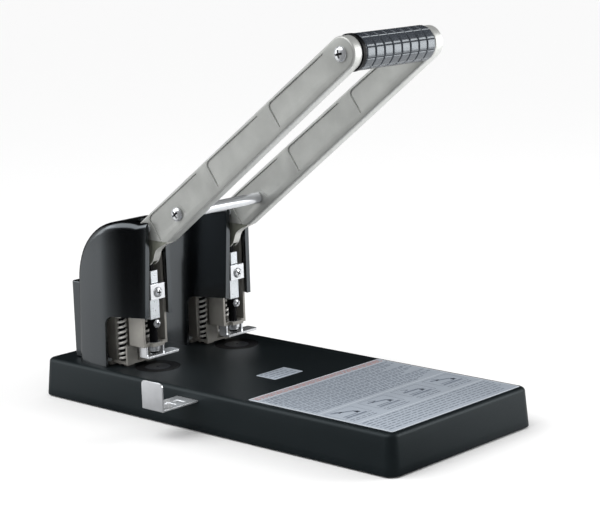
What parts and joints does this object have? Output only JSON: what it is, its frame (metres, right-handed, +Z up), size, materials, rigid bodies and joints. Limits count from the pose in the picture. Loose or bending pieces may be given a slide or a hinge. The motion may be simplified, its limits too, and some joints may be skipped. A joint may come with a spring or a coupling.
{
  "type": "hole punch",
  "caption": "Lever-operated paper punch: long base, spring-returned hollow punches under a forked handle, turnable cutting discs and a sliding side gauge.",
  "frame": {"origin": "on the floor, under the centre of the base", "axes": "+X to the right as the user stands at the handle, +Y to the rear, towards the heads, +Z up"},
  "size_m": [0.1775, 0.333, 0.2695],
  "materials": {
    "base_black": "fine-textured satin black enamel",
    "pan_black": "matt black enamel",
    "foot_rubber": "matt",
    "label_film": "pale blue-grey printed film",
    "cover_plastic": "satin black",
    "nickel_steel": "nickel plated",
    "bright_steel": "polished",
    "arm_steel": "satin plated",
    "lever_steel": "plated, slightly dull",
    "spring_steel": "zinc plated",
    "zinc_steel": "bright zinc plated",
    "black_oxide": "black oxide",
    "grip_rubber": "satin",
    "disc_plastic": "matt, scored by use"
  },
  "bodies": {
    "base": {"base_housing": "base_black", "base_pan": "pan_black", "rubber_feet": "foot_rubber", "instruction_label": "label_film", "note_label": "label_film", "gauge_channel": "nickel_steel", "head_frame_left": "nickel_steel", "head_frame_right": "nickel_steel", "frame_screws": "zinc_steel", "paper_stop_left": "nickel_steel", "paper_stop_right": "nickel_steel", "spring_pins_left": "black_oxide", "spring_pins_right": "black_oxide", "return_springs_left": "spring_steel", "return_springs_right": "spring_steel", "punch_bush_left": "bright_steel", "punch_bush_right": "bright_steel", "stripper_left": "bright_steel", "stripper_right": "bright_steel", "disc_seat_left": "black_oxide", "disc_seat_right": "black_oxide", "cover_left": "cover_plastic", "cover_right": "cover_plastic", "rear_cap_left": "cover_plastic", "rear_cap_right": "cover_plastic", "fulcrum_pin_left": "zinc_steel", "fulcrum_pin_right": "zinc_steel"},
    "handle": {"arm_left": "arm_steel", "arm_right": "arm_steel", "lever_left": "lever_steel", "lever_right": "lever_steel", "lever_rivets": "zinc_steel", "grip_sleeve": "grip_rubber", "grip_rod": "zinc_steel", "tie_rod": "bright_steel", "arm_screws": "bright_steel", "link_pin_left": "zinc_steel", "link_pin_right": "zinc_steel"},
    "link_body_left": {"link_left": "zinc_steel"},
    "carriage_left": {"clevis_block_left": "bright_steel", "clevis_pin_left": "zinc_steel", "spring_yoke_left": "lever_steel", "slide_bar_left": "zinc_steel", "punch_chuck_left": "black_oxide", "hollow_punch_left": "black_oxide", "carriage_screws_left": "bright_steel"},
    "disc_left": {"cutting_disc_left": "disc_plastic"},
    "link_body_right": {"link_right": "zinc_steel"},
    "carriage_right": {"clevis_block_right": "bright_steel", "clevis_pin_right": "zinc_steel", "spring_yoke_right": "lever_steel", "slide_bar_right": "zinc_steel", "punch_chuck_right": "black_oxide", "hollow_punch_right": "black_oxide", "carriage_screws_right": "bright_steel"},
    "disc_right": {"cutting_disc_right": "disc_plastic"},
    "gauge": {"paper_gauge": "bright_steel"}
  },
  "joints": [
    {"name": "handle_hinge", "type": "hinge", "parent": "base", "child": "handle", "pos_m": [0, 0.09709, 0.1027], "axis": [1, 0, 0], "range_deg": [0, 35], "stiffness_Nm_per_rad": 3, "springref_deg": -20.05},
    {"name": "link_hinge_left", "type": "hinge", "parent": "handle", "child": "link_body_left", "pos_m": [-0.04, 0.08187, 0.1075], "axis": [1, 0, 0], "range_deg": [-35, 0]},
    {"name": "link_hinge_right", "type": "hinge", "parent": "handle", "child": "link_body_right", "pos_m": [0.04, 0.08187, 0.1075], "axis": [1, 0, 0], "range_deg": [-35, 0]},
    {"name": "punch_slide_left", "type": "slide", "parent": "base", "child": "carriage_left", "axis": [0, 0, 1], "range_m": [-0.0096, 0], "deforming": ["return_springs_left"]},
    {"name": "punch_slide_right", "type": "slide", "parent": "base", "child": "carriage_right", "axis": [0, 0, 1], "range_m": [-0.0096, 0], "deforming": ["return_springs_right"]},
    {"name": "disc_turn_left", "type": "hinge", "parent": "base", "child": "disc_left", "pos_m": [-0.04, 0.0785, 0.028], "axis": [0, 0, 1], "continuous": true},
    {"name": "disc_turn_right", "type": "hinge", "parent": "base", "child": "disc_right", "pos_m": [0.04, 0.0785, 0.028], "axis": [0, 0, 1], "continuous": true},
    {"name": "gauge_slide", "type": "slide", "parent": "base", "child": "gauge", "axis": [1, 0, 0], "range_m": [-0.0445, 0.03]}
  ],
  "couplings": [
    {"joint": "link_hinge_left", "follows": "handle_hinge", "ratio": -1},
    {"joint": "link_hinge_right", "follows": "handle_hinge", "ratio": -1},
    {"joint": "punch_slide_left", "follows": "handle_hinge", "m_per_rad": -0.015715},
    {"joint": "punch_slide_right", "follows": "handle_hinge", "m_per_rad": -0.015715}
  ]
}
